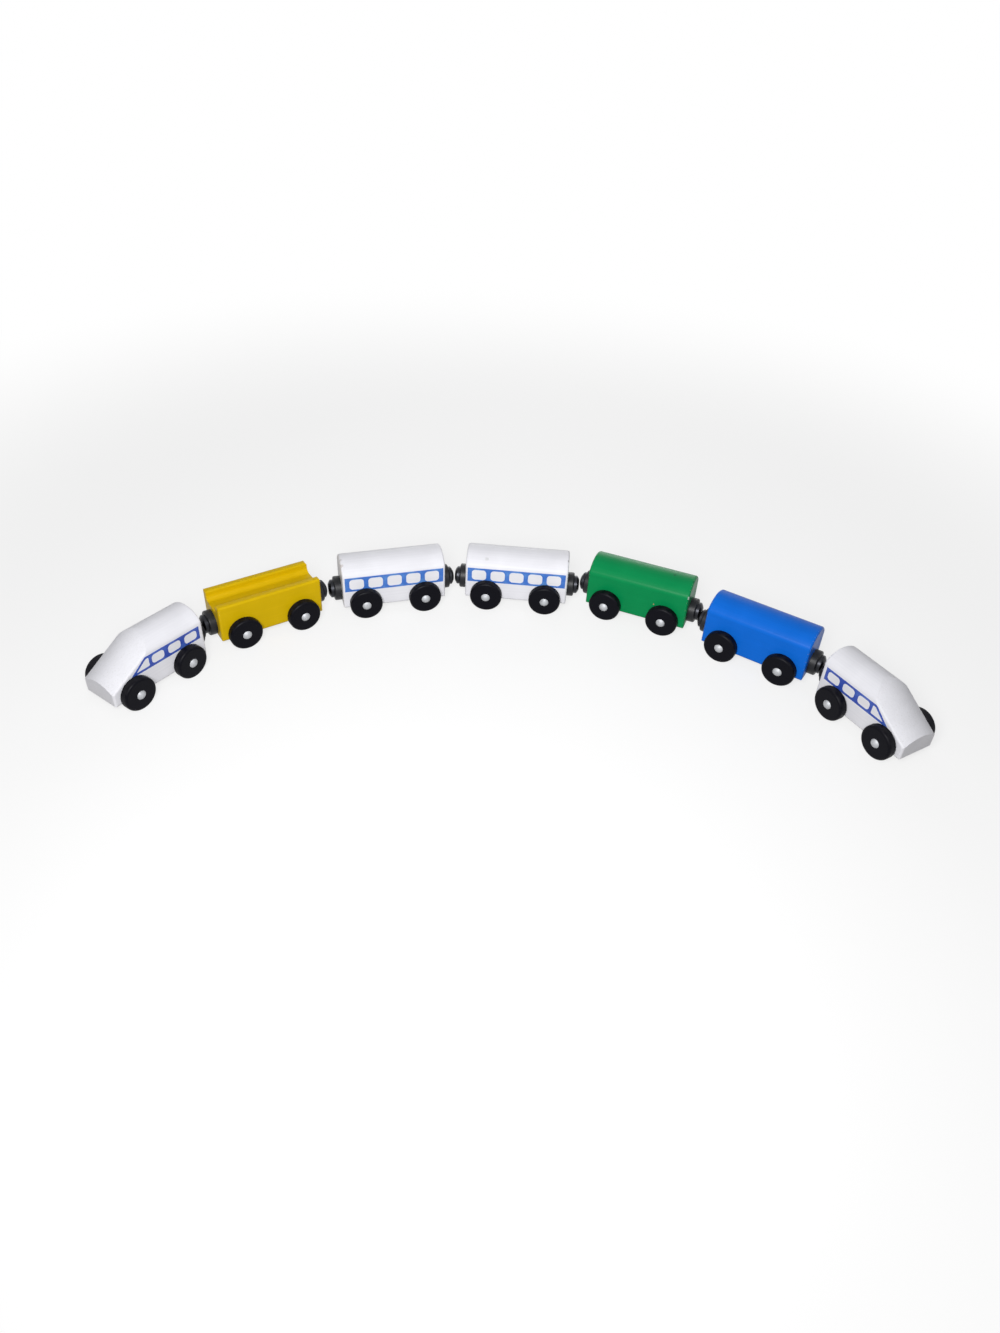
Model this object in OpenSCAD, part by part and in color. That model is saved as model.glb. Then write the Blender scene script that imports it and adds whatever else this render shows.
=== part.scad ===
// A wooden toy train: an engine at each end and five wagons between them, held together by
// magnets and standing on a level floor in a curve. The origin is on the floor under the middle
// coach, whose length lies along X. Both ends of the train curl towards -Y.

/* [Bodies] */
// Length of a wagon or coach body
wagon_l = 59.5; // [56:0.5:68]
// Width of every body
body_w = 23; // [20:0.5:28]
// Height of the straight side walls, from the underside to the spring of the roof
wall_h = 20; // [17:0.5:24]
// Radius of the roof's shoulders, which meet the walls without a corner
shoulder_r = 4; // [2:0.25:5]
// Rise of the roof's crown above the shoulders
crown_rise = 3.5; // [2:0.25:5]
// Round on the other edges of the bodies
edge_r = 1.2; // [0.5:0.1:1.6]

/* [Engine] */
// Length of an engine from its axles' midpoint back to its rear face
engine_rear = 29.5; // [27:0.5:34]
// Length of an engine from its axles' midpoint to its front face
engine_front = 28.7; // [26:0.1:34]
// Level length of an engine's roof, from the rear face to where the slope's line meets it
engine_roof_l = 31.3; // [28:0.1:38]
// Height of the front face above the underside, on the centre line
nose_h = 11.3; // [9:0.1:15]
// Radius of the bend from the roof into the slope
nose_bend_r = 14; // [6:1:24]
// Rise of the slope's crown above its rounded side edges
nose_rise = 2.5; // [1:0.25:3.5]
// Round on the side edges of the slope
nose_round = 1.5; // [0.5:0.1:2.5]

/* [Open wagon] */
// Height of the open wagon above its underside
tub_h = 22; // [19:0.5:26]
// Width of the open wagon's trough
trough_w = 14.5; // [10:0.5:15.5]
// Depth of the trough
trough_d = 5.5; // [4.5:0.5:9]
// Radius of the trough's bottom corners
trough_r = 3; // [1:0.5:3]
// Round on the upper edges of the trough
trough_edge_r = 1.2; // [0.4:0.1:1.4]

/* [Wheels] */
// Diameter of a wheel
wheel_d = 18.5; // [16.5:0.25:21]
// Width of a wheel's rim
wheel_w = 4.6; // [3.5:0.1:6]
// Round on the outer edge of the tread
rim_round = 1.4; // [0.4:0.1:1.8]
// Round on the inner edge of the tread
inner_round = 0.5; // [0.2:0.1:1]
// Diameter of the boss that keeps a wheel off the body
boss_d = 7.6; // [6:0.2:9]
// Height of that boss
boss_h = 0.4; // [0.2:0.05:0.8]
// Diameter of an axle
axle_d = 3.5; // [3:0.1:4]
// Diameter of the domed axle heads
axle_head_d = 5; // [4.4:0.1:5.4]
// Height of the domed axle heads
axle_head_h = 1.2; // [0.6:0.1:1.8]
// Wheelbase of a wagon or coach
wagon_wheelbase = 34.3; // [30:0.1:37]
// Wheelbase of an engine
engine_wheelbase = 33; // [29:0.1:36]
// Height of an axle's centre above the underside
axle_drop = 3.75; // [2.8:0.05:4.5]

/* [Couplers] */
// Height of the couplers' axis above the underside
coupler_h = 7; // [6:0.25:10]
// Distance that a magnet's dome stands out from the body
coupler_reach = 7.7; // [6.6:0.1:9]
// Diameter of a coupler's cup
cup_d = 14; // [11.6:0.2:15]
// Depth of the cup's front edge below the sphere of the dome
rim_sink = 0.05; // [0.02:0.01:0.2]
// Round on the front edge of the cup
cup_round = 0.9; // [0.4:0.1:1]
// Diameter of a magnet
magnet_d = 10.4; // [9.4:0.1:11]
// Depth of the magnet's seat in the cup
magnet_seat = 1.4; // [1:0.1:2.4]
// Radius of a magnet's dome beyond the radius of its cup
dome_over = 1; // [0.5:0.25:3]
// Diameter of a coupler screw's shank
screw_d = 2.6; // [2.2:0.1:3]
// Diameter of a coupler screw's head
screw_head_d = 5.6; // [4.8:0.1:6]
// Depth that a coupler screw goes into the wood
screw_grip = 8; // [6:0.5:9]
// Length of the cross recess in a screw's head
recess_l = 3; // [2:0.1:3.4]
// Width of the cross recess
recess_w = 0.7; // [0.4:0.1:0.9]

/* [Fits] */
// Clearance all round an axle in its bore
axle_gap = 0.08; // [0.02:0.01:0.1]
// Clearance between a wheel's boss and the body
wheel_gap = 0.3; // [0.2:0.05:0.6]
// Clearance between the domes of two magnets that hold each other
dome_gap = 0.2; // [0.1:0.05:0.4]
// Clearance all round a screw in its cup and magnet
screw_gap = 0.2; // [0.1:0.05:0.4]
// Depth of a screw's head below the magnet's dome
head_sink = 0.15; // [0.05:0.05:0.4]

/* [Curve] */
// Bend between the left engine and the open wagon
bend_engine_yellow = 21.1; // [-40:0.1:40]
// Bend between the open wagon and the left coach
bend_yellow_coach = 17.7; // [-40:0.1:40]
// Bend between the two coaches
bend_coaches = 19.9; // [-40:0.1:40]
// Bend between the middle coach and the green wagon
bend_coach_green = 18.5; // [-40:0.1:40]
// Bend between the green wagon and the blue wagon
bend_green_blue = 10.7; // [-40:0.1:40]
// Bend between the blue wagon and the right engine
bend_blue_engine = 26.2; // [-40:0.1:40]
// Sideways slip of the magnets between the left engine and the open wagon, as an angle about a dome
slip_engine_yellow = 10.3; // [-25:0.1:25]
// Sideways slip between the open wagon and the left coach
slip_yellow_coach = -6.1; // [-25:0.1:25]
// Sideways slip between the two coaches
slip_coaches = 1.1; // [-25:0.1:25]
// Sideways slip between the middle coach and the green wagon
slip_coach_green = 20; // [-25:0.1:25]
// Sideways slip between the green wagon and the blue wagon
slip_green_blue = -19.1; // [-25:0.1:25]
// Sideways slip between the blue wagon and the right engine
slip_blue_engine = -8.7; // [-25:0.1:25]

/* [Hidden] */
$fn = 96;
over = 1;

VEHICLES = ["left_engine", "yellow_wagon", "left_coach", "middle_coach", "green_wagon", "blue_wagon",
    "right_engine"];
LAST = len(VEHICLES) - 1;
MIDDLE = LAST / 2;
BENDS = [bend_engine_yellow, bend_yellow_coach, bend_coaches, bend_coach_green, bend_green_blue,
    bend_blue_engine];
SLIPS = [slip_engine_yellow, slip_yellow_coach, slip_coaches, slip_coach_green, slip_green_blue,
    slip_blue_engine];

WHITE_PAINT = [0.95, 0.95, 0.96];
YELLOW_PAINT = [0.86, 0.72, 0.03];
GREEN_PAINT = [0.02, 0.57, 0.31];
BLUE_PAINT = [0.07, 0.44, 0.88];
BLACK_PLASTIC = [0.08, 0.08, 0.1];
STEEL = [0.75, 0.76, 0.78];
NICKEL = [0.7, 0.7, 0.72];
DARK_SCREW = [0.3, 0.3, 0.31];
PAINTS = [WHITE_PAINT, YELLOW_PAINT, WHITE_PAINT, WHITE_PAINT, GREEN_PAINT, BLUE_PAINT, WHITE_PAINT];

NODES = [
    "left_engine_body", "left_engine_coupler_cup", "left_engine_magnet", "left_engine_coupler_screw",
    "left_engine_left_axle", "left_engine_left_wheels",
    "left_engine_right_axle", "left_engine_right_wheels",
    "yellow_wagon_body", "yellow_wagon_coupler_cups", "yellow_wagon_magnets", "yellow_wagon_coupler_screws",
    "yellow_wagon_left_axle", "yellow_wagon_left_wheels",
    "yellow_wagon_right_axle", "yellow_wagon_right_wheels",
    "left_coach_body", "left_coach_coupler_cups", "left_coach_magnets", "left_coach_coupler_screws",
    "left_coach_left_axle", "left_coach_left_wheels",
    "left_coach_right_axle", "left_coach_right_wheels",
    "middle_coach_body", "middle_coach_coupler_cups", "middle_coach_magnets", "middle_coach_coupler_screws",
    "middle_coach_left_axle", "middle_coach_left_wheels",
    "middle_coach_right_axle", "middle_coach_right_wheels",
    "green_wagon_body", "green_wagon_coupler_cups", "green_wagon_magnets", "green_wagon_coupler_screws",
    "green_wagon_left_axle", "green_wagon_left_wheels",
    "green_wagon_right_axle", "green_wagon_right_wheels",
    "blue_wagon_body", "blue_wagon_coupler_cups", "blue_wagon_magnets", "blue_wagon_coupler_screws",
    "blue_wagon_left_axle", "blue_wagon_left_wheels",
    "blue_wagon_right_axle", "blue_wagon_right_wheels",
    "right_engine_body", "right_engine_coupler_cup", "right_engine_magnet", "right_engine_coupler_screw",
    "right_engine_left_axle", "right_engine_left_wheels",
    "right_engine_right_axle", "right_engine_right_wheels"
];
node = "all";

// Heights above the floor, where the wheels stand
axle_z = wheel_d / 2;
underside_z = axle_z - axle_drop;
coupler_z = underside_z + coupler_h;

// Roof section: two shoulders and a crown that is tangent to both
shoulder_y = body_w / 2 - shoulder_r;
roof_h = wall_h + shoulder_r + crown_rise;
crown_r = (pow(shoulder_y, 2) + pow(shoulder_r + crown_rise, 2) - pow(shoulder_r, 2)) / (2 * crown_rise);
crown_h = roof_h - crown_r;
crown_angle = atan2(shoulder_y, wall_h - crown_h);

// Engine nose: a slope to the top of the front face, with a bend from the roof in a few equal turns
slope_x = engine_roof_l - engine_rear;
slope_run = engine_front - slope_x;
slope_angle = atan2(roof_h - nose_h, slope_run);
bend_x = slope_x - nose_bend_r * tan(slope_angle / 2);
BEND_SHARES = [1 / 3, 2 / 3, 1];

// Section of the slope: a crown that is tangent to the two rounded side edges
nose_edge_y = body_w / 2 - nose_round;
nose_edge_z = -nose_rise - nose_round;
nose_crown_r = (pow(nose_edge_y, 2) + pow(nose_edge_z, 2) - pow(nose_round, 2)) / (2 * nose_rise);
nose_crown_angle = atan2(nose_edge_y, nose_crown_r + nose_edge_z);

// Wheels and axles
axle_bore_d = axle_d + 2 * axle_gap;
wheel_y = body_w / 2 + wheel_gap + boss_h;
axle_head_y = wheel_y + wheel_w;
head_curve_r = (pow(axle_head_d / 2, 2) + pow(axle_head_h, 2)) / (2 * axle_head_h);

// Couplers, measured out from the end face of a body
dome_r = cup_d / 2 + dome_over;
dome_centre = coupler_reach - dome_r;
dome_pitch = 2 * dome_r + dome_gap;
rim_r = cup_d / 2 - cup_round;
cup_l = dome_centre + cup_round + sqrt(pow(dome_r - cup_round - rim_sink, 2) - pow(rim_r, 2));
screw_hole_d = screw_d + 2 * screw_gap;
head_hole_d = screw_head_d + 2 * screw_gap;
head_face = dome_centre + sqrt(pow(dome_r, 2) - pow(head_hole_d / 2, 2)) - head_sink;
head_cone_h = (screw_head_d - screw_d) / 2;

function is_engine(i) = i == 0 || i == LAST;
function half_length(i) = is_engine(i) ? engine_rear : wagon_l / 2;
function wheelbase(i) = is_engine(i) ? engine_wheelbase : wagon_wheelbase;
function heading(turn) = [cos(turn), sin(turn), 0];
// Turn of a vehicle about Z, summed along the train from the middle coach
function turn(i) =
    i > MIDDLE ? turn(i - 1) - BENDS[i - 1] :
    i < MIDDLE ? turn(i + 1) + BENDS[i] : 0;
// Distance from a vehicle's centre to the centre of its magnet's dome
function dome_at(i) = half_length(i) + dome_centre;
// Way from the dome of vehicle i to the dome of the next one: it halves the bend, apart from the slip
function contact_turn(i) = (turn(i) + turn(i + 1)) / 2 + SLIPS[i];
// Step from the centre of vehicle i to the centre of the next one, over their two domes
function step(i) =
    dome_at(i) * heading(turn(i)) + dome_pitch * heading(contact_turn(i))
    + dome_at(i + 1) * heading(turn(i + 1));
function centre(i) =
    i > MIDDLE ? centre(i - 1) + step(i - 1) :
    i < MIDDLE ? centre(i + 1) - step(i) :
    [0, 0, 0];
// Ends of a vehicle that carry a coupler: -1 is the left one and 1 the right one
function coupled_ends(i) = i == 0 ? [1] : i == LAST ? [-1] : [-1, 1];

// Rectangle with true arcs at its four corners
module rounded_rectangle(l, w, r) {
    square([l - 2 * r, w], center = true);
    square([l, w - 2 * r], center = true);
    for (x = [-1, 1], y = [-1, 1])
        translate([x * (l / 2 - r), y * (w / 2 - r)]) circle(r);
}

// Block on the underside plane, centred in X and Y, with every edge rounded
module rounded_block(l, w, h) {
    intersection() {
        linear_extrude(h) rounded_rectangle(l, w, edge_r);
        translate([0, w / 2, h / 2]) rotate([90, 0, 0]) linear_extrude(w) rounded_rectangle(l, h, edge_r);
        translate([-l / 2, 0, h / 2]) rotate([90, 0, 90]) linear_extrude(l) rounded_rectangle(w, h, edge_r);
    }
}

// Drum along X with rounded rims
module drum(l, r) {
    rotate([0, 90, 0]) rotate_extrude() intersection() {
        rounded_rectangle(2 * r, l, edge_r);
        translate([0, -l / 2]) square([r, l]);
    }
}

// Wedge about the vertical, which spans a crown of radius r between its tangent points
module wedge(r, angle) {
    reach = 2 * r;
    polygon([[0, 0], [reach * sin(angle), reach * cos(angle)], [-reach * sin(angle), reach * cos(angle)]]);
}

// Body blank with the arched roof
module arched_block(l) {
    intersection() {
        rounded_block(l, body_w, roof_h);
        translate([-l / 2, -body_w / 2, 0]) cube([l, body_w, wall_h]);
    }
    for (side = [-1, 1])
        translate([0, side * shoulder_y, wall_h]) drum(l, shoulder_r);
    intersection() {
        translate([0, 0, crown_h]) drum(l, crown_r);
        translate([-l / 2, 0, crown_h]) rotate([90, 0, 90]) linear_extrude(l) wedge(crown_r, crown_angle);
    }
}

// Section of the space under the slope, with the top of the crown at the origin
module nose_section(depth) {
    translate([0, -nose_crown_r]) intersection() {
        circle(nose_crown_r);
        wedge(nose_crown_r, nose_crown_angle);
    }
    for (side = [-1, 1])
        translate([side * nose_edge_y, nose_edge_z]) circle(nose_round);
    translate([-body_w / 2 - over, -depth]) square([body_w + 2 * over, depth + nose_edge_z]);
}

// Space under a line that is tangent to the bend at this angle, as a prism along the line
module under_slope(angle) {
    reach = 2 * (engine_rear + engine_front);
    translate([bend_x + nose_bend_r * sin(angle), 0, roof_h - nose_bend_r * (1 - cos(angle))])
        rotate([0, angle, 0]) translate([-reach / 2, 0, 0])
            rotate([90, 0, 90]) linear_extrude(reach) nose_section(reach);
}

// Engine blank with its nose towards +X
module engine_block() {
    intersection() {
        translate([(engine_front - engine_rear) / 2, 0, 0]) arched_block(engine_rear + engine_front);
        intersection_for (share = BEND_SHARES) under_slope(slope_angle * share);
    }
}

// Section of the trough, with the middle of its mouth at the origin
module trough_section() {
    rounded_rectangle(trough_w, 2 * trough_d, trough_r);
    difference() {
        translate([-trough_w / 2 - trough_edge_r, -trough_edge_r])
            square([trough_w + 2 * trough_edge_r, trough_edge_r + over]);
        for (side = [-1, 1])
            translate([side * (trough_w / 2 + trough_edge_r), -trough_edge_r]) circle(trough_edge_r);
    }
}

// Open wagon blank with a trough from end to end
module tub_block() {
    difference() {
        rounded_block(wagon_l, body_w, tub_h);
        translate([-wagon_l / 2 - over, 0, tub_h]) rotate([90, 0, 90]) linear_extrude(wagon_l + 2 * over)
            trough_section();
    }
}

// Bores for the two axles and the coupler screws of one vehicle
module body_bores(i) {
    for (side = [-1, 1])
        translate([side * wheelbase(i) / 2, body_w / 2 + over, axle_drop]) rotate([90, 0, 0])
            cylinder(d = axle_bore_d, h = body_w + 2 * over);
    for (end = coupled_ends(i))
        translate([end * (half_length(i) + over), 0, coupler_h]) rotate([0, -90 * end, 0])
            cylinder(d = screw_d, h = screw_grip + over);
}

// One vehicle's own frame: its centre on the floor, with X along its length
module at_vehicle(i) {
    translate(centre(i)) rotate([0, 0, turn(i)]) children();
}

// Frame of each coupler of a vehicle: X points out of the body's end face, along the axis
module at_couplers(i) {
    at_vehicle(i) for (end = coupled_ends(i))
        translate([end * half_length(i), 0, coupler_z]) rotate([0, 0, end == 1 ? 0 : 180]) children();
}

module body(i) {
    color(PAINTS[i]) at_vehicle(i) translate([0, 0, underside_z]) difference() {
        if (VEHICLES[i] == "yellow_wagon") tub_block();
        else if (is_engine(i)) rotate([0, 0, i == 0 ? 180 : 0]) engine_block();
        else arched_block(wagon_l);
        body_bores(i);
    }
}

// Cup that carries the magnet, with its back flat on the body
module coupler_cups(i) {
    color(BLACK_PLASTIC) at_couplers(i) rotate([0, 90, 0]) rotate_extrude() difference() {
        union() {
            square([cup_d / 2, cup_l - cup_round]);
            square([rim_r, cup_l]);
            translate([rim_r, cup_l - cup_round]) circle(cup_round);
        }
        square([screw_hole_d / 2, cup_l]);
        translate([0, cup_l - magnet_seat]) square([magnet_d / 2, magnet_seat + over]);
    }
}

// Domed ring magnet with a countersunk hole
module magnets(i) {
    seat = cup_l - magnet_seat;
    color(NICKEL) at_couplers(i) rotate([0, 90, 0]) rotate_extrude() difference() {
        intersection() {
            translate([0, dome_centre]) circle(dome_r);
            translate([0, seat]) square([magnet_d / 2, coupler_reach]);
        }
        square([screw_hole_d / 2, coupler_reach + over]);
        translate([0, head_face]) square([head_hole_d / 2, coupler_reach]);
        polygon([[0, head_face], [screw_head_d / 2, head_face], [screw_d / 2, head_face - head_cone_h],
            [0, head_face - head_cone_h]]);
    }
}

// Countersunk screw through the magnet and the cup into the wood
module coupler_screws(i) {
    color(DARK_SCREW) at_couplers(i) difference() {
        rotate([0, 90, 0]) union() {
            translate([0, 0, -screw_grip]) cylinder(d = screw_d, h = screw_grip + head_face - head_cone_h);
            translate([0, 0, head_face - head_cone_h])
                cylinder(d1 = screw_d, d2 = screw_head_d, h = head_cone_h);
        }
        for (quarter = [0, 90])
            rotate([quarter, 0, 0]) translate([head_face - head_cone_h / 2, -recess_l / 2, -recess_w / 2])
                cube([head_cone_h, recess_l, recess_w]);
    }
}

// Frame of one axle: Z lies across the train
module at_axle(i, side) {
    at_vehicle(i) translate([side * wheelbase(i) / 2, 0, axle_z]) rotate([90, 0, 0]) children();
}

// Steel axle with a domed head at each end
module axle(i, side) {
    color(STEEL) at_axle(i, side) {
        translate([0, 0, -axle_head_y]) cylinder(d = axle_d, h = 2 * axle_head_y);
        for (end = [0, 180])
            rotate([0, end, 0]) translate([0, 0, axle_head_y]) rotate_extrude() intersection() {
                translate([0, axle_head_h - head_curve_r]) circle(head_curve_r);
                square([axle_head_d, axle_head_h]);
            }
    }
}

// Section of a wheel, from its inner face outwards along the axle
module wheel_section() {
    difference() {
        union() {
            translate([0, inner_round]) square([wheel_d / 2, wheel_w - rim_round - inner_round]);
            square([wheel_d / 2 - inner_round, wheel_w - rim_round]);
            square([wheel_d / 2 - rim_round, wheel_w]);
            translate([wheel_d / 2 - rim_round, wheel_w - rim_round]) circle(rim_round);
            translate([wheel_d / 2 - inner_round, inner_round]) circle(inner_round);
            translate([0, -boss_h]) square([boss_d / 2, boss_h + over]);
        }
        translate([0, -boss_h - over]) square([axle_d / 2, wheel_w + boss_h + 2 * over]);
    }
}

// Pair of wheels pressed on one axle
module wheels(i, side) {
    color(BLACK_PLASTIC) at_axle(i, side) for (end = [0, 180])
        rotate([0, end, 0]) translate([0, 0, wheel_y]) rotate_extrude() wheel_section();
}

function shown(name) = node == "all" || node == name;

for (i = [0 : LAST]) {
    plural = is_engine(i) ? "" : "s";
    if (shown(str(VEHICLES[i], "_body"))) body(i);
    if (shown(str(VEHICLES[i], "_coupler_cup", plural))) coupler_cups(i);
    if (shown(str(VEHICLES[i], "_magnet", plural))) magnets(i);
    if (shown(str(VEHICLES[i], "_coupler_screw", plural))) coupler_screws(i);
    if (shown(str(VEHICLES[i], "_left_axle"))) axle(i, -1);
    if (shown(str(VEHICLES[i], "_left_wheels"))) wheels(i, -1);
    if (shown(str(VEHICLES[i], "_right_axle"))) axle(i, 1);
    if (shown(str(VEHICLES[i], "_right_wheels"))) wheels(i, 1);
}
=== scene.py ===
"""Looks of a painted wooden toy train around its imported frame.

The frame holds the wooden bodies, the wheels, the axles and the magnet couplers. This script gives each
of them its finish, adds the window bands that are printed on the coaches and engines, and sets a plain
floor, soft light and the camera. Lengths are in metres unless a name or comment says millimetres.
"""

from __future__ import annotations

import logging
import math
from collections.abc import Callable, Iterable
from dataclasses import dataclass, field
from enum import Enum

import bmesh
import bpy
from mathutils import Matrix, Vector

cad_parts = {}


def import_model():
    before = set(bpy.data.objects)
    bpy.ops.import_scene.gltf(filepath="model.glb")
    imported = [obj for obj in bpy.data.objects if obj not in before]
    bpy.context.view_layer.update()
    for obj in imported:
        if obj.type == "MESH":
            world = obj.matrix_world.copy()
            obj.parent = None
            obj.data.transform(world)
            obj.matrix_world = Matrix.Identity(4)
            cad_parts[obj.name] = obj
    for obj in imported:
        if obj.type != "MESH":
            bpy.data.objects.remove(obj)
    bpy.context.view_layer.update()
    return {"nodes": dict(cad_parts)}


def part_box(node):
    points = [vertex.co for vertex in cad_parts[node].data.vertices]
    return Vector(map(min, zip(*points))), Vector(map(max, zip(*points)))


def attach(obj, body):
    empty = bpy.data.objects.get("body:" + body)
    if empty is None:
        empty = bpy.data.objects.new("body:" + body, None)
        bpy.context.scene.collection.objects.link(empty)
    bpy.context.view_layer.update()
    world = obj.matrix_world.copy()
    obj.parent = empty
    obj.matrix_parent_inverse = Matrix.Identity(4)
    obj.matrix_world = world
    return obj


log = logging.getLogger("toy_train")

MM = 0.001

Triple = tuple[float, float, float]
Rgb = tuple[int, int, int]
Rgba = tuple[float, float, float, float]

FULL_WHITE: Rgba = (1.0, 1.0, 1.0, 1.0)


def linear(red: int, green: int, blue: int) -> Rgba:
    """Turns a screen colour into the shader's linear one.

    Args:
        red: Red from 0 to 255.
        green: Green from 0 to 255.
        blue: Blue from 0 to 255.

    Returns:
        The linear colour with a full alpha.
    """
    def channel(value: int) -> float:
        """Linear value of one channel, by the sRGB curve."""
        share = value / 255
        return share / 12.92 if share <= 0.04045 else ((share + 0.055) / 1.055) ** 2.4

    return channel(red), channel(green), channel(blue), 1.0


class Side(Enum):
    """The two long sides of a vehicle, by the sign of its own Y."""

    INNER = -1
    OUTER = 1


class Paint(Enum):
    """The paints of the wooden bodies, as screen colours."""

    WHITE = (237, 237, 243)
    YELLOW = (214, 178, 4)
    GREEN = (4, 137, 77)
    BLUE = (13, 107, 215)

    @property
    def shade(self) -> Rgba:
        """The paint's linear colour."""
        return linear(*self.value)


LIVERY = {
    "left_engine": Paint.WHITE,
    "yellow_wagon": Paint.YELLOW,
    "left_coach": Paint.WHITE,
    "middle_coach": Paint.WHITE,
    "green_wagon": Paint.GREEN,
    "blue_wagon": Paint.BLUE,
    "right_engine": Paint.WHITE,
}


class Signal:
    """One output of a shader node, which takes part in Python expressions on values."""

    def __init__(self, shader: Shader, socket: bpy.types.NodeSocket) -> None:
        """Wraps a socket of a shader."""
        self.shader = shader
        self.socket = socket

    def __add__(self, other: Signal | float) -> Signal:
        """Sum."""
        return self.shader.math("ADD", self, other)

    def __radd__(self, other: float) -> Signal:
        """Sum with a number on the left."""
        return self.shader.math("ADD", other, self)

    def __sub__(self, other: Signal | float) -> Signal:
        """Difference."""
        return self.shader.math("SUBTRACT", self, other)

    def __rsub__(self, other: float) -> Signal:
        """Difference from a number."""
        return self.shader.math("SUBTRACT", other, self)

    def __mul__(self, other: Signal | float) -> Signal:
        """Product."""
        return self.shader.math("MULTIPLY", self, other)

    def __rmul__(self, other: float) -> Signal:
        """Product with a number on the left."""
        return self.shader.math("MULTIPLY", other, self)

    def __abs__(self) -> Signal:
        """Absolute value."""
        return self.shader.math("ABSOLUTE", self)


class Shader:
    """A material under construction, with the one method that adds nodes to it."""

    # Outputs of a Texture Coordinate node
    NORMAL, OBJECT = 1, 3
    # Sockets of a Mix node for colours
    SHARE, FIRST, SECOND, MIXED = 0, 6, 7, 2
    # Output of a Vector Math node that holds a number
    NUMBER = 1

    def __init__(self, name: str) -> None:
        """Starts a material with its principled surface.

        Args:
            name: The material's name.
        """
        self.material = bpy.data.materials.new(name)
        self.material.use_nodes = True
        self.tree = self.material.node_tree
        self.surface = self.tree.nodes["Principled BSDF"]

    @classmethod
    def of_world(cls, world: bpy.types.World) -> Shader:
        """Wraps the nodes of a world, which has no surface.

        Args:
            world: The world, with its nodes on.

        Returns:
            The wrapped nodes.
        """
        sky = cls.__new__(cls)
        sky.tree = world.node_tree
        return sky

    def feed(self, socket: bpy.types.NodeSocket, value: object) -> None:
        """Links a signal to a socket, or sets the socket's own value.

        Args:
            socket: The socket that takes the value.
            value: A signal, a number, a vector or a colour.
        """
        if isinstance(value, Signal):
            self.tree.links.new(value.socket, socket)
        else:
            socket.default_value = value

    def add(self, kind: str, settings: dict[str, object] | None = None,
            inputs: dict[str | int, object] | None = None, output: int = 0) -> Signal:
        """Adds one node.

        Args:
            kind: The node's type.
            settings: Its properties, set before its sockets.
            inputs: The value or link of each socket, by name or number.
            output: The number of the output to return.

        Returns:
            The node's output.
        """
        node = self.tree.nodes.new(kind)
        for key, value in (settings or {}).items():
            setattr(node, key, value)
        for key, value in (inputs or {}).items():
            self.feed(node.inputs[key], value)
        return Signal(self, node.outputs[output])

    def math(self, operation: str, *values: Signal | float) -> Signal:
        """Adds a Math node.

        Args:
            operation: The operation's name.
            values: One or two operands.

        Returns:
            The result.
        """
        return self.add("ShaderNodeMath", {"operation": operation}, dict(enumerate(values)))

    def mix(self, share: Signal | float, first: object, second: object) -> Signal:
        """Mixes two colours.

        Args:
            share: How much of the second colour shows.
            first: A colour or a signal.
            second: A colour or a signal.

        Returns:
            The mixed colour.
        """
        sockets = {self.SHARE: share, self.FIRST: first, self.SECOND: second}
        return self.add("ShaderNodeMix", {"data_type": "RGBA"}, sockets, self.MIXED)

    def ease(self, value: Signal, low: float, high: float) -> Signal:
        """Smooth step of a value from 0 at low to 1 at high.

        Args:
            value: The value.
            low: Where the step starts.
            high: Where it ends.

        Returns:
            The eased share.
        """
        return self.add("ShaderNodeMapRange", {"interpolation_type": "SMOOTHSTEP"},
                        {"Value": value, "From Min": low, "From Max": high})

    def noise(self, vector: Signal, scale: float, detail: float = 2.0) -> Signal:
        """Cloudy noise from 0 to 1.

        Args:
            vector: The coordinates.
            scale: Cells to a unit of the coordinates.
            detail: Octaves of finer noise.

        Returns:
            The noise value.
        """
        return self.add("ShaderNodeTexNoise", inputs={"Vector": vector, "Scale": scale, "Detail": detail})

    def scaled(self, vector: Signal, factors: Triple) -> Signal:
        """Stretches a vector by a factor on each axis."""
        return self.add("ShaderNodeVectorMath", {"operation": "MULTIPLY"}, {0: vector, 1: factors})

    def place(self) -> Signal:
        """Coordinates in the train's frame."""
        return self.add("ShaderNodeTexCoord", output=self.OBJECT)

    def first_axis(self, vector: Signal) -> Signal:
        """The X component of a vector."""
        return self.add("ShaderNodeSeparateXYZ", inputs={0: vector})

    def length(self, vector: Signal) -> Signal:
        """Length of a vector."""
        return self.add("ShaderNodeVectorMath", {"operation": "LENGTH"}, {0: vector}, self.NUMBER)

    def gap(self, vector: Signal, place: Triple) -> Signal:
        """Distance of a point from a place, in the units of the coordinates."""
        return self.add("ShaderNodeVectorMath", {"operation": "DISTANCE"}, {0: vector, 1: place}, self.NUMBER)

    def finish(self, **inputs: object) -> bpy.types.Material:
        """Feeds the surface and gives the material.

        Args:
            inputs: The surface's sockets, with underscores for the spaces of their names.

        Returns:
            The finished material.
        """
        for key, value in inputs.items():
            self.feed(self.surface.inputs[key.replace("_", " ")], value)
        return self.material

    def bump(self, height: Signal, depth: float, strength: float) -> Signal:
        """Turns a height into a normal.

        Args:
            height: The height from 0 to 1.
            depth: The depth of a full height, in metres.
            strength: The strength of the effect.

        Returns:
            The bumped normal.
        """
        return self.add("ShaderNodeBump", inputs={"Height": height, "Distance": depth, "Strength": strength})


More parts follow.
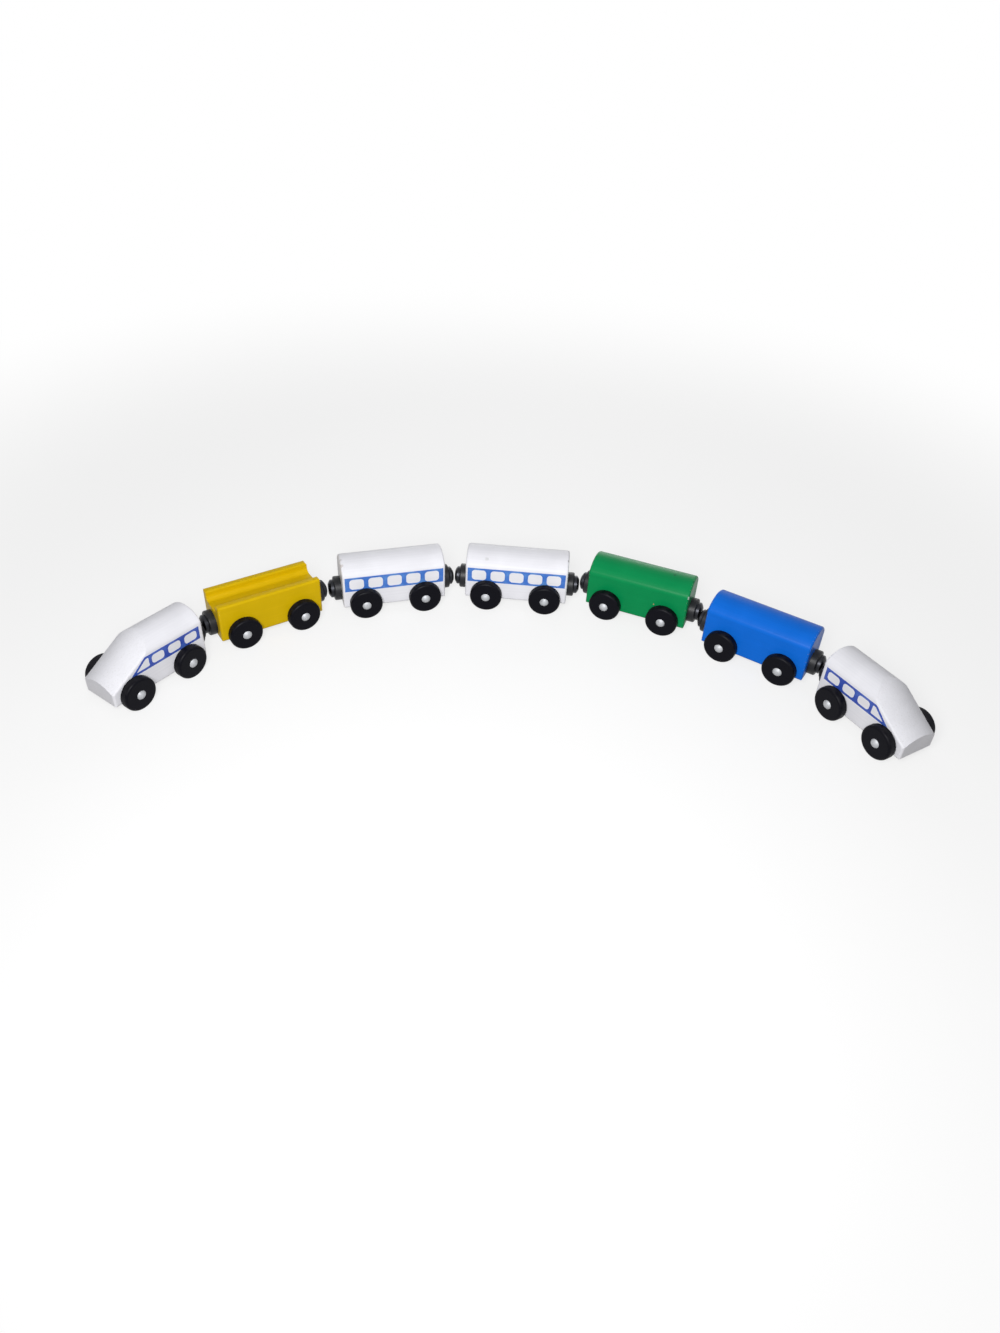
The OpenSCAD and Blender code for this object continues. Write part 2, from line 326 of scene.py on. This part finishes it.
@dataclass(frozen=True)
class Stand:
    """Where a vehicle or an axle stands, and which way it points.

    Attributes:
        centre: The origin of its own frame, which for a vehicle lies on the underside of its body.
        turn: Its turn about Z, in radians.
    """

    centre: Vector
    turn: float

    @property
    def matrix(self) -> Matrix:
        """The way from its own frame to the train's frame."""
        return Matrix.Translation(self.centre) @ Matrix.Rotation(self.turn, 4, "Z")

    def position(self, shader: Shader) -> Signal:
        """Coordinates of its own frame, in millimetres.

        Args:
            shader: The material that reads them.

        Returns:
            The coordinates.
        """
        back = Matrix.Rotation(-self.turn, 3, "Z")
        return shader.add("ShaderNodeMapping", {"vector_type": "POINT"}, {
            "Vector": shader.place(),
            "Location": -(back @ self.centre) / MM,
            "Rotation": (0, 0, -self.turn),
            "Scale": (1 / MM,) * 3,
        })

    def normal(self, shader: Shader) -> Signal:
        """The surface's direction in its own frame.

        Args:
            shader: The material that reads it.

        Returns:
            The unit normal.
        """
        source = shader.add("ShaderNodeTexCoord", output=Shader.NORMAL)
        return shader.add("ShaderNodeMapping", {"vector_type": "VECTOR"},
                          {"Vector": source, "Rotation": (0, 0, -self.turn)})


@dataclass(frozen=True)
class Mark:
    """A spot of another colour on a body, in the body's own frame.

    Attributes:
        place: Its middle, in millimetres.
        radius: Its size, in millimetres.
        colour: What shows there, as a screen colour.
        cover: How much of the paint it hides.
    """

    place: Triple
    radius: float
    colour: Rgb
    cover: float


PAINT_SPOTS = {
    "left_engine": (Mark((-4.0, -1.3, 27.4), 0.9, (150, 150, 152), 0.7),),
    "left_coach": (
        Mark((-29.4, -6.5, 25.8), 1.5, (172, 160, 148), 0.45),
        Mark((-29.0, -2.5, 27.3), 1.2, (168, 162, 158), 0.4),
    ),
    "middle_coach": (
        Mark((-17.8, -8.1, 24.8), 1.4, (206, 206, 208), 0.6),
        Mark((29.5, -5.5, 26.2), 0.9, (130, 128, 128), 0.6),
    ),
    "green_wagon": (
        *(Mark((29.6, -11.1, height), 0.75, (224, 230, 224), 0.9) for height in (20.8, 21.6, 22.4)),
        Mark((10.6, -11.5, 11.4), 0.55, (214, 150, 120), 0.8),
        # Two spots darker than the green paint, on top of the roof towards the right end.
        Mark((17.8, -1.0, 27.4), 1.2, (8, 84, 58), 0.6),
        Mark((29.4, -2.7, 27.2), 1.0, (8, 84, 58), 0.6),
    ),
}


@dataclass(frozen=True)
class PaintedWood:
    """Semi-gloss paint on turned and sanded wood, rubbed on the edges.

    Attributes:
        paint: The colour.
        marks: Spots of another colour at known places.
        roughness: The gloss of a clean stretch.
        wear: How far the edges are rubbed, from 0 to 1.
        grain_cells: Cells of the wood's grain to a millimetre, on each axis.
        cloud_cells: Cells of the clouds in the colour to a millimetre.
        peel_cells: Cells of the paint's orange peel to a millimetre.
        speck_cells: Cells of the specks of wear to a millimetre.
        deep: Brightness of the deepest clouds.
        pale: Brightness of the palest clouds.
        lift: What the palest clouds gain over that.
        relief: Depth of the peel and the grain, in millimetres.
        shine: Level of the paint's mirror light.
    """

    paint: Paint
    marks: tuple[Mark, ...] = ()
    roughness: float = 0.36
    wear: float = 0.5
    grain_cells: Triple = (0.03, 1.1, 1.1)
    cloud_cells: float = 0.07
    peel_cells: float = 0.9
    speck_cells: float = 1.6
    deep: float = 0.95
    pale: float = 1.03
    lift: float = 0.002
    relief: float = 0.05
    shine: float = 0.1

    def material(self, name: str, stand: Stand) -> bpy.types.Material:
        """Makes the paint for one body.

        Args:
            name: The material's name.
            stand: The body's own frame.

        Returns:
            The material.
        """
        shader = Shader(name)
        place = stand.position(shader)
        along = shader.first_axis(stand.normal(shader))
        grain = shader.noise(shader.scaled(place, self.grain_cells), 1.0, detail=3.0)
        clouds = shader.noise(place, self.cloud_cells)
        peel = shader.noise(place, self.peel_cells)
        speck = shader.noise(place, self.speck_cells, detail=3.0)

        *tint, alpha = self.paint.shade
        deep = (*(self.deep * value for value in tint), alpha)
        pale = (*(min(1.0, self.pale * value + self.lift) for value in tint), alpha)
        colour = shader.mix(shader.ease(0.65 * clouds + 0.35 * grain, 0.3, 0.72), deep, pale)

        edge = shader.ease(abs(along) * (1 - abs(along)), 0.1, 0.25)
        rub = edge * shader.ease(speck, 0.62 - 0.1 * self.wear, 0.78) * self.wear
        colour = shader.mix(rub, colour, self.bare())
        for mark in self.marks:
            reach = shader.gap(place, mark.place) + (speck - 0.5) * (1.6 * mark.radius)
            spot = 1 - shader.ease(reach, 0.45 * mark.radius, mark.radius)
            colour = shader.mix(spot * mark.cover, colour, linear(*mark.colour))

        height = 0.55 * peel + 0.45 * grain
        return shader.finish(
            Base_Color=colour,
            Roughness=self.roughness + 0.16 * (clouds - 0.5) + 0.2 * rub,
            Normal=shader.bump(height, self.relief * MM, 0.35),
            Specular_IOR_Level=self.shine,
        )

    def bare(self) -> Rgba:
        """The colour of a rubbed edge: primer under the coloured paints, and greyed paint on white."""
        return linear(205, 203, 200) if self.paint is Paint.WHITE else linear(214, 208, 196)


@dataclass(frozen=True)
class WheelPlastic:
    """Black moulded plastic of a pair of wheels, dull on the tread.

    Attributes:
        shade: The clean plastic, as a screen colour.
        dust: What lies on the tread, as a screen colour.
        tread_radius: Where the tread starts, in millimetres from the axle.
        ring_pitch: How far the moulding rings' wave runs in a millimetre of radius, in radians.
        relief: Depth of the moulded texture, in millimetres.
        shine: Level of the plastic's mirror light.
    """

    shade: Rgb = (6, 6, 14)
    dust: Rgb = (48, 47, 50)
    tread_radius: float = 8.9
    ring_pitch: float = 9.0
    relief: float = 0.02
    shine: float = 0.09

    def material(self, name: str, stand: Stand) -> bpy.types.Material:
        """Makes the plastic for the wheels of one axle.

        Args:
            name: The material's name.
            stand: The axle's own frame.

        Returns:
            The material.
        """
        shader = Shader(name)
        place = stand.position(shader)
        radius = shader.length(shader.scaled(place, (1, 0, 1)))
        cloud = shader.noise(place, 0.35, detail=3.0)
        fine = shader.noise(place, 3.0)
        tread = shader.ease(radius, self.tread_radius - 0.35, self.tread_radius + 0.25)
        rings = shader.math("SINE", radius * self.ring_pitch)
        worn = tread * shader.ease(cloud, 0.35, 0.7)
        colour = shader.mix(0.25 * worn, linear(*self.shade), linear(*self.dust))
        return shader.finish(
            Base_Color=colour,
            Roughness=0.33 + 0.12 * cloud + 0.2 * worn,
            Normal=shader.bump(0.7 * fine + 0.15 * rings, self.relief * MM, 0.25),
            Specular_IOR_Level=self.shine,
        )


@dataclass(frozen=True)
class CupPlastic:
    """Black moulded plastic of the coupler cups.

    Attributes:
        shade: The clean plastic, as a screen colour.
        pale: Brightness of its palest clouds.
        cloud_cells: Cells of the clouds to a metre.
        fine_cells: Cells of the moulded texture to a metre.
        relief: Depth of that texture, in millimetres.
        shine: Level of the plastic's mirror light.
    """

    shade: Rgb = (18, 19, 23)
    pale: float = 1.5
    cloud_cells: float = 300.0
    fine_cells: float = 2600.0
    relief: float = 0.02
    shine: float = 0.3

    def material(self, name: str) -> bpy.types.Material:
        """Makes the plastic of the cups.

        Args:
            name: The material's name.

        Returns:
            The material.
        """
        shader = Shader(name)
        place = shader.place()
        cloud = shader.noise(place, self.cloud_cells, detail=3.0)
        fine = shader.noise(place, self.fine_cells)
        *tint, alpha = linear(*self.shade)
        pale = (*(self.pale * value for value in tint), alpha)
        return shader.finish(
            Base_Color=shader.mix(cloud, (*tint, alpha), pale),
            Roughness=0.34 + 0.16 * cloud,
            Normal=shader.bump(fine, self.relief * MM, 0.3),
            Specular_IOR_Level=self.shine,
        )


@dataclass(frozen=True)
class BrightMetal:
    """A bare or plated metal with fine scratches and a little tarnish.

    Attributes:
        shade: The clean metal, as a screen colour; for the magnets and the screws it is darkened with painted
            shade.
        tarnish: The dull patches, as a screen colour.
        roughness: The gloss of the clean metal.
        bare: How far it looks like bare metal, from 0 under a dull plating to 1.
        cloud_cells: Cells of the tarnish to a metre.
        scratch_cells: Cells of the scratches to a metre, on each axis.
        relief: Depth of the scratches, in millimetres.
    """

    shade: Rgb
    tarnish: Rgb
    roughness: float
    bare: float = 1.0
    cloud_cells: float = 420.0
    scratch_cells: Triple = (900.0, 5200.0, 2600.0)
    relief: float = 0.01

    def material(self, name: str) -> bpy.types.Material:
        """Makes the metal.

        Args:
            name: The material's name.

        Returns:
            The material.
        """
        shader = Shader(name)
        place = shader.place()
        cloud = shader.noise(place, self.cloud_cells, detail=3.0)
        scratch = shader.noise(shader.scaled(place, self.scratch_cells), 1.0)
        dull = shader.ease(cloud, 0.5, 0.75)
        return shader.finish(
            Base_Color=shader.mix(dull, linear(*self.shade), linear(*self.tarnish)),
            Metallic=self.bare,
            Roughness=self.roughness + 0.15 * dull + 0.08 * scratch,
            Normal=shader.bump(scratch, self.relief * MM, 0.2),
        )


@dataclass(frozen=True)
class ScreenPrint:
    """Ink printed on the painted wood.

    Attributes:
        shade: The ink, as a screen colour.
        thin: The ink where it lies thin, as a screen colour.
        cloud_cells: Cells of the thin patches to a millimetre.
        fine_cells: Cells of the ink's texture to a millimetre.
        relief: Depth of that texture, in millimetres.
    """

    shade: Rgb
    thin: Rgb
    cloud_cells: float = 0.22
    fine_cells: float = 2.4
    relief: float = 0.02

    def material(self, name: str, stand: Stand) -> bpy.types.Material:
        """Makes the ink of one band.

        Args:
            name: The material's name.
            stand: The vehicle's own frame.

        Returns:
            The material.
        """
        shader = Shader(name)
        place = stand.position(shader)
        cloud = shader.noise(place, self.cloud_cells)
        fine = shader.noise(place, self.fine_cells)
        ink = shader.ease(0.7 * cloud + 0.3 * fine, 0.42, 0.7)
        return shader.finish(
            Base_Color=shader.mix(0.8 * ink, linear(*self.shade), linear(*self.thin)),
            Roughness=0.4 + 0.1 * cloud,
            Normal=shader.bump(fine, self.relief * MM, 0.2),
        )


class Bench:
    """Modelling steps by operators, on edges and faces that are picked by their place."""

    @staticmethod
    def take(piece: bpy.types.Object) -> None:
        """Makes a piece the only one that operators act on.

        Args:
            piece: The piece.
        """
        bpy.ops.object.select_all(action="DESELECT")
        piece.select_set(True)
        bpy.context.view_layer.objects.active = piece

    @classmethod
    def block(cls, name: str, low: Triple, high: Triple) -> bpy.types.Object:
        """Adds a block between two corners.

        Args:
            name: The piece's name.
            low: The lowest corner.
            high: The highest corner.

        Returns:
            The block, with its place in its mesh.
        """
        bpy.ops.object.select_all(action="DESELECT")
        bpy.ops.mesh.primitive_cube_add(size=1, location=(Vector(low) + Vector(high)) / 2)
        piece = bpy.context.active_object
        piece.name = name
        piece.data.name = name
        piece.scale = Vector(high) - Vector(low)
        cls.settle(piece)
        return piece

    @classmethod
    def settle(cls, piece: bpy.types.Object) -> None:
        """Puts a piece's place, turn and scale into its mesh.

        Args:
            piece: The piece.
        """
        cls.take(piece)
        bpy.ops.object.transform_apply(location=True, rotation=True, scale=True)

    @classmethod
    def pick_edges(cls, piece: bpy.types.Object, test: Callable[[Vector, Vector], bool]) -> None:
        """Opens a piece in edit mode with some edges selected.

        Args:
            piece: The piece.
            test: Says whether the edge between two points is picked.
        """
        cls.take(piece)
        bpy.ops.object.mode_set(mode="EDIT")
        bpy.ops.mesh.select_mode(type="EDGE")
        bpy.ops.mesh.select_all(action="DESELECT")
        shape = bmesh.from_edit_mesh(piece.data)
        for edge in shape.edges:
            edge.select_set(test(edge.verts[0].co, edge.verts[1].co))
        bmesh.update_edit_mesh(piece.data)

    @classmethod
    def round_edges(cls, piece: bpy.types.Object, radius: float, segments: int,
                    test: Callable[[Vector, Vector], bool]) -> None:
        """Rounds some edges of a piece.

        Args:
            piece: The piece.
            radius: The radius of the round.
            segments: The steps of the round.
            test: Says whether the edge between two points is picked.
        """
        cls.pick_edges(piece, test)
        bpy.ops.mesh.bevel(offset=radius, segments=segments, affect="EDGES")
        bpy.ops.object.mode_set(mode="OBJECT")

    @classmethod
    def shift_edges(cls, piece: bpy.types.Object, by: Triple,
                    test: Callable[[Vector, Vector], bool]) -> None:
        """Moves some edges of a piece.

        Args:
            piece: The piece.
            by: The way that they move.
            test: Says whether the edge between two points is picked.
        """
        cls.pick_edges(piece, test)
        bpy.ops.transform.translate(value=by)
        bpy.ops.object.mode_set(mode="OBJECT")

    @classmethod
    def cut(cls, piece: bpy.types.Object, cutters: Iterable[bpy.types.Object]) -> None:
        """Cuts some pieces out of another one.

        Args:
            piece: The piece that is cut.
            cutters: The pieces that are taken away. They are removed.
        """
        for cutter in cutters:
            cls.take(piece)
            bpy.ops.object.modifier_add(type="BOOLEAN")
            opening = piece.modifiers[-1]
            opening.operation = "DIFFERENCE"
            opening.object = cutter
            bpy.ops.object.modifier_apply(modifier=opening.name)
            bpy.data.objects.remove(cutter)

    @classmethod
    def copy(cls, piece: bpy.types.Object, name: str, matrix: Matrix) -> bpy.types.Object:
        """Copies a piece, with a mesh of its own, to another place.

        Args:
            piece: The piece.
            name: The copy's name.
            matrix: The way from the piece's frame to the train's frame.

        Returns:
            The copy, with its place in its mesh.
        """
        twin = bpy.data.objects.new(name, piece.data.copy())
        twin.data.name = name
        bpy.context.collection.objects.link(twin)
        twin.matrix_world = matrix
        cls.settle(twin)
        return twin


@dataclass
class WindowBand:
    """The printed window band of a coach, in the vehicle's own frame and in millimetres.

    Attributes:
        name: The name of its pattern piece.
        ink: Its finish.
        low: Height of the band's lower edge above the underside of the body.
        high: Height of its upper edge.
        start: Its left end.
        stop: Its right end.
        windows: Left and right ends of the windows.
        rail: Width of the ink above and below the windows.
        corner: Radius of the windows' corners.
        corner_steps: Steps of those rounds.
        reach: Half the depth of the blocks that cut the windows.
        proud: Height of the ink above the paint.
        sunk: Depth of the sheet below the paint.
        pattern: The band that is copied onto the vehicles, once it is modelled.
    """

    name: str = "coach_band"
    ink: ScreenPrint = ScreenPrint((58, 112, 200), (96, 148, 214))
    low: float = 11.1
    high: float = 20.2
    start: float = -28.5
    stop: float = 28.5
    windows: tuple[tuple[float, float], ...] = tuple(
        (middle - 4.15, middle + 4.15) for middle in (-21.8, -10.9, 0.0, 10.9, 21.8))
    rail: float = 1.2
    corner: float = 2.0
    corner_steps: int = 8
    reach: float = 1.0
    proud: float = 0.06
    sunk: float = 0.06
    pattern: bpy.types.Object | None = field(default=None, repr=False)

    def sheet(self) -> bpy.types.Object:
        """Adds the band's plain sheet.

        Returns:
            The sheet, in the middle plane of the vehicle.
        """
        half = (self.proud + self.sunk) / 2
        return Bench.block(self.name, (self.start * MM, -half * MM, self.low * MM),
                           (self.stop * MM, half * MM, self.high * MM))

    def runs_across(self, first: Vector, second: Vector) -> bool:
        """Whether an edge between two points of a block runs across the sheet."""
        return abs(first.y - second.y) > self.reach * MM

    def block(self, left: float, right: float) -> bpy.types.Object:
        """Adds a block of the size of one window, which reaches through the sheet.

        Args:
            left: The window's left end.
            right: Its right end.

        Returns:
            The block.
        """
        return Bench.block("window", (left * MM, -self.reach * MM, (self.low + self.rail) * MM),
                           (right * MM, self.reach * MM, (self.high - self.rail) * MM))

    def opening(self, left: float, right: float) -> bpy.types.Object:
        """Adds a block with rounded corners, to cut one window.

        Args:
            left: The window's left end.
            right: Its right end.

        Returns:
            The block.
        """
        piece = self.block(left, right)
        Bench.round_edges(piece, self.corner * MM, self.corner_steps, self.runs_across)
        return piece

    def build(self) -> None:
        """Models the band once, in the middle plane of the vehicle."""
        self.pattern = self.sheet()
        Bench.cut(self.pattern, [self.opening(*ends) for ends in self.windows])

    def print_on(self, vehicle: Vehicle, turned: bool = False) -> None:
        """Copies the band onto both sides of a vehicle.

        Args:
            vehicle: The vehicle.
            turned: Whether the vehicle's nose points to its own -X.
        """
        material = self.ink.material(f"{vehicle.name}_print", vehicle.stand)
        for side in Side:
            offset = side.value * (vehicle.half_width + (self.proud - self.sunk) / 2 * MM)
            place = Matrix.Translation((0, offset, 0)) @ Matrix.Rotation(math.pi * turned, 4, "Z")
            band = Bench.copy(self.pattern, f"{vehicle.name}_{side.name.lower()}_window_band",
                              vehicle.stand.matrix @ place)
            band.data.materials.append(material)
            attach(band, vehicle.name)
            log.info("printed %s", band.name)

    def clear(self) -> None:
        """Removes the pattern piece."""
        bpy.data.objects.remove(self.pattern)


@dataclass
class EngineBand(WindowBand):
    """The printed window band of an engine, with a slanted front end.

    Attributes:
        slant: How far the upper edge stops short of the tip.
        front_window: Left end, upper right corner and tip of the front window.
        front_corner: Radius of that window's corners.
        front_steps: Steps of those rounds.
        slack: How far from a block's front end an edge still counts as its front edge.
    """

    name: str = "engine_band"
    ink: ScreenPrint = ScreenPrint((40, 70, 168), (74, 108, 194))
    low: float = 11.8
    high: float = 19.5
    start: float = -26.9
    stop: float = 17.0
    windows: tuple[tuple[float, float], ...] = ((-25.1, -17.2), (-14.6, -6.8), (-4.2, 3.4))
    rail: float = 1.3
    corner: float = 1.8
    slant: float = 9.7
    front_window: Triple = (5.2, 6.9, 13.3)
    front_corner: float = 0.6
    front_steps: int = 6
    slack: float = 0.01

    def sheet(self) -> bpy.types.Object:
        """Adds the band's sheet with its slanted front end.

        Returns:
            The sheet, in the middle plane of the vehicle.
        """
        piece = super().sheet()
        self.slope(piece, self.stop, self.slant)
        return piece

    def slope(self, piece: bpy.types.Object, front: float, by: float) -> None:
        """Pulls the upper front edge of a block back.

        Args:
            piece: The block.
            front: The block's front end.
            by: The length of the pull.
        """
        middle = (self.low + self.high) / 2 * MM
        face = (front - self.slack) * MM
        Bench.shift_edges(piece, (-by * MM, 0, 0),
                          lambda a, b: min(a.z, b.z) > middle and min(a.x, b.x) > face)

    def build(self) -> None:
        """Models the band once, with its front window."""
        super().build()
        left, top, tip = self.front_window
        piece = self.block(left, tip)
        self.slope(piece, tip, tip - top)
        Bench.round_edges(piece, self.front_corner * MM, self.front_steps, self.runs_across)
        Bench.cut(self.pattern, [piece])


@dataclass
class Vehicle:
    """One vehicle of the train, with its body, wheelsets and couplers.

    Attributes:
        name: The name of its body in the frame.
        wood: The finish of its wooden body.
    """

    name: str
    wood: PaintedWood

    def __post_init__(self) -> None:
        """Works out the vehicle's own frame from its axles and the underside of its body."""
        self.axles = {end: self.middle(f"{self.name}_{end}_axle") for end in ("left", "right")}
        left, right = self.axles.values()
        run = right - left
        foot = (left + right) / 2
        foot.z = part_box(f"{self.name}_body")[0].z
        self.stand = Stand(foot, math.atan2(run.y, run.x))
        # All bodies have one width, which shows in the box of the unturned coach
        low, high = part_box("middle_coach_body")
        self.half_width = (high.y - low.y) / 2

    @staticmethod
    def middle(node: str) -> Vector:
        """Middle of a node's box."""
        low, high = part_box(node)
        return (low + high) / 2

    def dress(self, nodes: dict[str, bpy.types.Object], shared: dict[str, bpy.types.Material]) -> None:
        """Gives every node of the vehicle its finish.

        Args:
            nodes: The frame's nodes.
            shared: The finishes that all vehicles share, by the word in the node's name.
        """
        finishes = {"body": self.wood.material(f"{self.name}_paint", self.stand)}
        for end, centre in self.axles.items():
            own = Stand(centre, self.stand.turn)
            finishes[f"{end}_wheels"] = WheelPlastic().material(f"{self.name}_{end}_wheel_plastic", own)
        for name, node in nodes.items():
            if not name.startswith(self.name):
                continue
            word = name.removeprefix(self.name + "_")
            kind = word.removesuffix("s").removeprefix("left_").removeprefix("right_")
            material = finishes.get(word) or shared[kind]
            node.data.materials.clear()
            node.data.materials.append(material)
            log.info("dressed %s", name)
        log.info("%s stands at %.1f degrees", self.name, math.degrees(self.stand.turn))


@dataclass(frozen=True)
class Lamp:
    """A square soft lamp.

    Attributes:
        name: Its name.
        place: Where it hangs.
        aim: The point that it faces.
        size: The length of its side.
        power: Its power in watts.
        spread: The angle of its beam, in degrees.
    """

    name: str
    place: Triple
    aim: Triple
    size: float
    power: float
    spread: float = 180.0

    def hang(self) -> None:
        """Adds the lamp."""
        data = bpy.data.lights.new(self.name, "AREA")
        data.size = self.size
        data.energy = self.power
        data.spread = math.radians(self.spread)
        lamp = bpy.data.objects.new(self.name, data)
        lamp.location = self.place
        lamp.rotation_euler = (Vector(self.aim) - Vector(self.place)).to_track_quat("-Z", "Y").to_euler()
        bpy.context.scene.collection.objects.link(lamp)


@dataclass
class Studio:
    """The plain floor, the soft light and the camera at the photograph's viewing angle.

    Attributes:
        floor_size: Side of the floor.
        floor_roughness: How matt it is.
        floor_shade: Its screen colour to the eye.
        bounce_shade: Its screen colour in the light that it throws back on the train.
        glow: How much of the floor near the train is plain white to the eye.
        near: Distance from the origin where the floor starts to fade to plain white.
        far: Distance where it is all white.
        sky_light: Strength of the even light from all round.
        place: The camera's place.
        turn: Its turn, in degrees.
        focal: Its focal length in pixels of an image that is frame_height high.
        frame_height: The height of that image in pixels.
        sensor: The longer side of its sensor, in millimetres.
        clip_start: The nearest distance that it sees.
        lamps: The near key lamp in front and the broad one behind.
    """

    floor_size: float = 24.0
    floor_roughness: float = 0.9
    floor_shade: Rgb = (250, 250, 250)
    bounce_shade: Rgb = (140, 137, 134)
    glow: float = 0.74
    near: float = 0.26
    far: float = 0.6
    sky_light: float = 0.19
    place: Triple = (0.01607, -0.48397, 0.33424)
    turn: Triple = (51.202, -2.465, 4.735)
    focal: float = 973.2
    frame_height: float = 1333.0
    sensor: float = 36.0
    clip_start: float = 0.01
    lamps: tuple[Lamp, ...] = (
        Lamp("key", (-0.03, -0.44, 0.32), (0, -0.02, 0.02), size=0.18, power=1.4, spread=135),
        Lamp("back", (0, 0.8, 0.22), (0, -0.05, 0.02), size=0.6, power=2.2),
    )

    def lay_floor(self) -> None:
        """Adds the floor under the wheels."""
        bpy.ops.object.select_all(action="DESELECT")
        bpy.ops.mesh.primitive_plane_add(size=self.floor_size, location=(0, 0, 0))
        floor = bpy.context.active_object
        floor.name = "floor"
        shader = Shader("floor")
        seen = self.seen(shader)
        shade = shader.mix(seen, linear(*self.bounce_shade), linear(*self.floor_shade))
        shader.finish(Base_Color=shade, Roughness=self.floor_roughness)
        distance = shader.length(shader.place())
        white = self.glow + (1 - self.glow) * shader.ease(distance, self.near, self.far)
        glow = shader.add("ShaderNodeEmission", inputs={"Color": FULL_WHITE, "Strength": 1.0})
        matt = Signal(shader, shader.surface.outputs[0])
        mixed = shader.add("ShaderNodeMixShader", inputs={0: white * seen, 1: matt, 2: glow})
        shader.feed(shader.tree.nodes["Material Output"].inputs["Surface"], mixed)
        floor.data.materials.append(shader.material)

    @staticmethod
    def seen(shader: Shader) -> Signal:
        """Tells what the eye sees, straight or in a mirror or a glass, from what only lights the train.

        Args:
            shader: The material that asks.

        Returns:
            1 for a seen ray and 0 for any other one.
        """
        rays = shader.add("ShaderNodeLightPath").socket.node.outputs
        kinds = ("Is Camera Ray", "Is Glossy Ray", "Is Transmission Ray")
        straight, mirrored, through = (Signal(shader, rays[kind]) for kind in kinds)
        return shader.math("MAXIMUM", shader.math("MAXIMUM", straight, mirrored), through)

    def light_world(self) -> None:
        """Sets an even sky, which looks white and lights the train more gently."""
        world = bpy.data.worlds.new("sky")
        bpy.context.scene.world = world
        world.use_nodes = True
        sky = Shader.of_world(world)
        strength = self.sky_light + (1 - self.sky_light) * self.seen(sky)
        background = sky.tree.nodes["Background"]
        sky.feed(background.inputs["Color"], FULL_WHITE)
        sky.feed(background.inputs["Strength"], strength)

    def set_camera(self) -> None:
        """Adds the camera."""
        data = bpy.data.cameras.new("camera")
        data.sensor_width = self.sensor
        data.lens = self.focal / self.frame_height * self.sensor
        data.clip_start = self.clip_start
        camera = bpy.data.objects.new("camera", data)
        camera.location = self.place
        camera.rotation_euler = [math.radians(angle) for angle in self.turn]
        bpy.context.scene.collection.objects.link(camera)
        bpy.context.scene.camera = camera

    def build(self) -> None:
        """Sets up the whole studio."""
        self.lay_floor()
        self.light_world()
        for lamp in self.lamps:
            lamp.hang()
        self.set_camera()
        bpy.context.scene.view_settings.view_transform = "Standard"


def shared_finishes() -> dict[str, bpy.types.Material]:
    """Makes the finishes that all vehicles share.

    Returns:
        The finishes by the word in the nodes' names.
    """
    return {
        "axle": BrightMetal((188, 190, 194), (164, 166, 170), 0.55, bare=0.5).material("axle_steel"),
        "coupler_cup": CupPlastic().material("cup_plastic"),
        # The magnets' dark colour is partly plated metal and partly painted shade: it stands in for the dark
        # reflections and the shade between the touching domes.
        "magnet": BrightMetal((50, 51, 55), (38, 39, 42), 0.3).material("magnet_nickel"),
        # The screws' dark grey is partly painted shade: it stands in for the shade in the recess at the
        # middle of each magnet.
        "coupler_screw": BrightMetal((92, 92, 95), (66, 64, 62), 0.35).material("dark_screw"),
    }


def main() -> None:
    """Builds the train's looks in order."""
    logging.basicConfig(level=logging.INFO, format="%(name)s: %(message)s")
    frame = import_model()
    train = [Vehicle(name, PaintedWood(paint, PAINT_SPOTS.get(name, ()))) for name, paint in LIVERY.items()]
    shared = shared_finishes()
    for vehicle in train:
        vehicle.dress(frame["nodes"], shared)
    coach_band = WindowBand()
    engine_band = EngineBand()
    for band in (coach_band, engine_band):
        band.build()
    for vehicle in train:
        if vehicle.name.endswith("coach"):
            coach_band.print_on(vehicle)
        elif vehicle.name.endswith("engine"):
            engine_band.print_on(vehicle, turned=vehicle.name.startswith("left"))
    for band in (coach_band, engine_band):
        band.clear()
    Studio().build()


if __name__ == "__main__":
    main()
